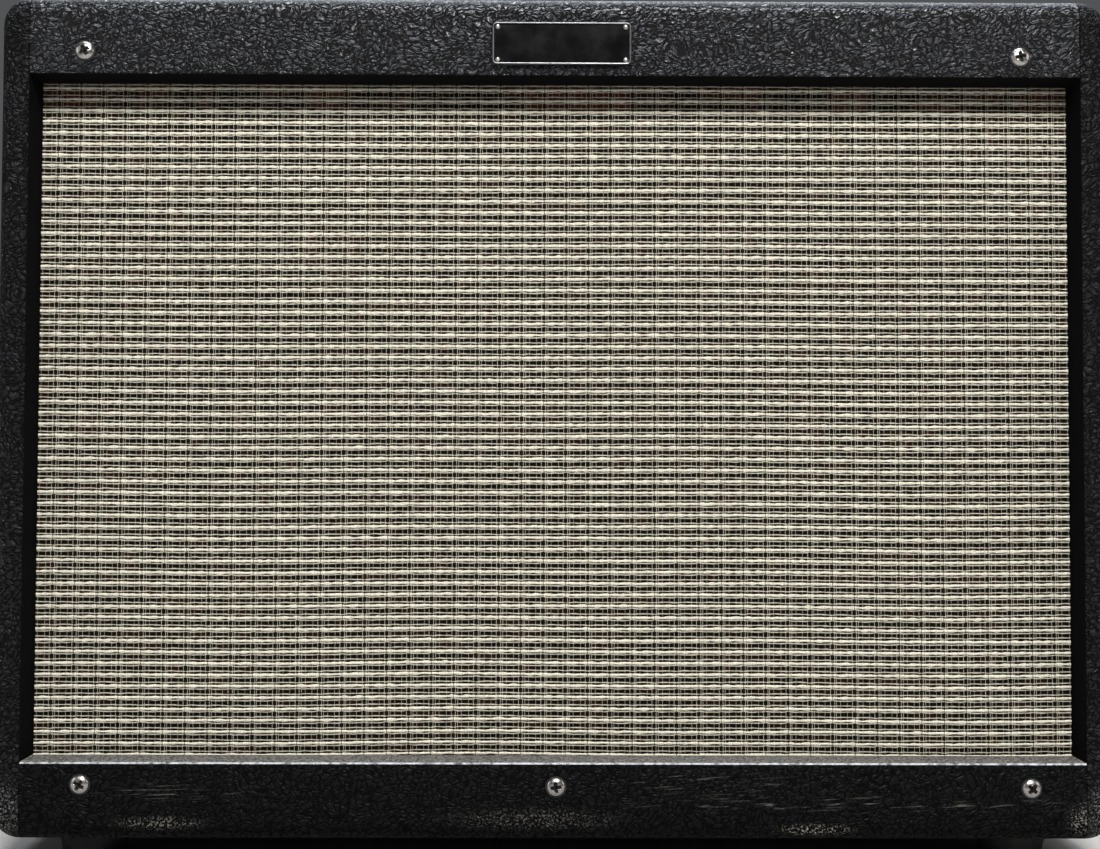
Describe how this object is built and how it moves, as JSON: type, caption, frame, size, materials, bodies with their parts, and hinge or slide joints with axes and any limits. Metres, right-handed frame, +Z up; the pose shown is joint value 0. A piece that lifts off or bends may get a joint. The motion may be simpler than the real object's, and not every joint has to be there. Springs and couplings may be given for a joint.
{
  "type": "tube combo amplifier",
  "caption": "Tube combo amplifier: black vinyl-covered open-back cabinet with a woven grille, a speaker, valve chassis, pointer knobs on top at the back, and a strap handle.",
  "frame": {"origin": "on the floor at the middle of the footprint, between the four feet", "axes": "+X to the right as seen from the front, +Y to the back, +Z up; the grille looks along -Y"},
  "size_m": [0.597, 0.2689, 0.485],
  "materials": {
    "black_vinyl": "boards covered in pebbled black vinyl",
    "grille_cloth": "woven silver and black cloth",
    "plywood": "bare plywood",
    "badge_metal": "black face in a bright rim",
    "rubber": "matt black",
    "chrome": "polished",
    "plated_steel": "zinc plated",
    "circuit_board": "green board",
    "black_plastic": "black moulded",
    "black_iron": "black lacquer over laminations",
    "valve_glass": "clear glass on a black base",
    "knob_plastic": "black with a white pointer line",
    "lamp_jewel": "red jewel in a plated bezel",
    "basket_paint": "dark grey",
    "ferrite": "ferrite between plated plates",
    "cone_paper": "dark pressed paper",
    "spider_cloth": "varnished cloth",
    "cork": "cork",
    "tank_steel": "dull plated steel"
  },
  "bodies": {
    "amplifier": {"back_panel_lower": "black_vinyl", "back_panel_upper": "black_vinyl", "badge_plate": "badge_metal", "baffle_board": "plywood", "cabinet_bottom": "black_vinyl", "cabinet_side_left": "black_vinyl", "cabinet_side_right": "black_vinyl", "cabinet_top": "black_vinyl", "chassis": "plated_steel", "choke": "black_iron", "control_board": "circuit_board", "control_panel": "chrome", "effects_jacks": "black_plastic", "foot_front_left": "rubber", "foot_front_right": "rubber", "foot_rear_left": "rubber", "foot_rear_right": "rubber", "front_panel_lower": "black_vinyl", "front_panel_upper": "black_vinyl", "fuse_holder": "black_plastic", "grille_cloth": "grille_cloth", "handle_cap_left": "chrome", "handle_cap_right": "chrome", "input_jacks": "black_plastic", "mains_inlet": "black_plastic", "output_transformer": "black_iron", "pilot_lamp": "lamp_jewel", "power_socket_left": "black_plastic", "power_socket_right": "black_plastic", "power_transformer": "black_iron", "power_tube_left": "valve_glass", "power_tube_right": "valve_glass", "preamp_tube_1": "valve_glass", "preamp_tube_2": "valve_glass", "preamp_tube_3": "valve_glass", "reverb_tank": "tank_steel", "speaker_frame": "basket_paint", "speaker_gasket": "cork", "speaker_jacks": "black_plastic", "speaker_magnet": "ferrite", "speaker_spider": "spider_cloth", "speaker_surround": "cone_paper", "tube_shield_1": "plated_steel", "tube_shield_2": "plated_steel", "tube_shield_3": "plated_steel"},
    "presence_knob": {"knob_presence": "knob_plastic"},
    "reverb_knob": {"knob_reverb": "knob_plastic"},
    "master_knob": {"knob_master": "knob_plastic"},
    "middle_knob": {"knob_middle": "knob_plastic"},
    "bass_knob": {"knob_bass": "knob_plastic"},
    "treble_knob": {"knob_treble": "knob_plastic"},
    "drive_knob": {"knob_drive": "knob_plastic"},
    "volume_knob": {"knob_volume": "knob_plastic"},
    "channel_button": {"button_channel": "knob_plastic"},
    "more_drive_button": {"button_more_drive": "knob_plastic"},
    "bright_button": {"button_bright": "knob_plastic"},
    "power_lever": {"switch_power": "chrome"},
    "standby_lever": {"switch_standby": "chrome"},
    "cone": {"speaker_cone": "cone_paper"},
    "strap": {"handle_strap": "rubber"}
  },
  "joints": [
    {"name": "presence_turn", "type": "hinge", "parent": "amplifier", "child": "presence_knob", "pos_m": [0.0975, 0.07455, 0.452], "axis": [0, 0, 1], "range_deg": [-200, 100]},
    {"name": "reverb_turn", "type": "hinge", "parent": "amplifier", "child": "reverb_knob", "pos_m": [0.0615, 0.07455, 0.452], "axis": [0, 0, 1], "range_deg": [-225, 75]},
    {"name": "master_turn", "type": "hinge", "parent": "amplifier", "child": "master_knob", "pos_m": [0.0255, 0.07455, 0.452], "axis": [0, 0, 1], "range_deg": [-175, 125]},
    {"name": "middle_turn", "type": "hinge", "parent": "amplifier", "child": "middle_knob", "pos_m": [-0.0105, 0.07455, 0.452], "axis": [0, 0, 1], "range_deg": [-137.5, 162.5]},
    {"name": "bass_turn", "type": "hinge", "parent": "amplifier", "child": "bass_knob", "pos_m": [-0.0465, 0.07455, 0.452], "axis": [0, 0, 1], "range_deg": [-162.5, 137.5]},
    {"name": "treble_turn", "type": "hinge", "parent": "amplifier", "child": "treble_knob", "pos_m": [-0.0825, 0.07455, 0.452], "axis": [0, 0, 1], "range_deg": [-125, 175]},
    {"name": "drive_turn", "type": "hinge", "parent": "amplifier", "child": "drive_knob", "pos_m": [-0.1325, 0.07455, 0.452], "axis": [0, 0, 1], "range_deg": [-187.5, 112.5]},
    {"name": "volume_turn", "type": "hinge", "parent": "amplifier", "child": "volume_knob", "pos_m": [-0.1685, 0.07455, 0.452], "axis": [0, 0, 1], "range_deg": [-150, 150]},
    {"name": "channel_press", "type": "slide", "parent": "amplifier", "child": "channel_button", "axis": [0, 0, -1], "range_m": [0, 0.0025], "stiffness_N_per_m": 600},
    {"name": "more_drive_press", "type": "slide", "parent": "amplifier", "child": "more_drive_button", "axis": [0, 0, -1], "range_m": [0, 0.0025], "stiffness_N_per_m": 600},
    {"name": "bright_press", "type": "slide", "parent": "amplifier", "child": "bright_button", "axis": [0, 0, -1], "range_m": [0, 0.0025], "stiffness_N_per_m": 600},
    {"name": "power_tip", "type": "hinge", "parent": "amplifier", "child": "power_lever", "pos_m": [0.2365, 0.07455, 0.4552], "axis": [1, 0, 0], "range_deg": [0, 24]},
    {"name": "standby_tip", "type": "hinge", "parent": "amplifier", "child": "standby_lever", "pos_m": [0.2115, 0.07455, 0.4552], "axis": [1, 0, 0], "range_deg": [0, 24]},
    {"name": "cone_travel", "type": "slide", "parent": "amplifier", "child": "cone", "axis": [0, -1, 0], "range_m": [-0.003, 0.003], "stiffness_N_per_m": 5000},
    {"name": "handle_lift", "type": "slide", "parent": "amplifier", "child": "strap", "axis": [0, 0, 1], "range_m": [0, 0.006]}
  ]
}
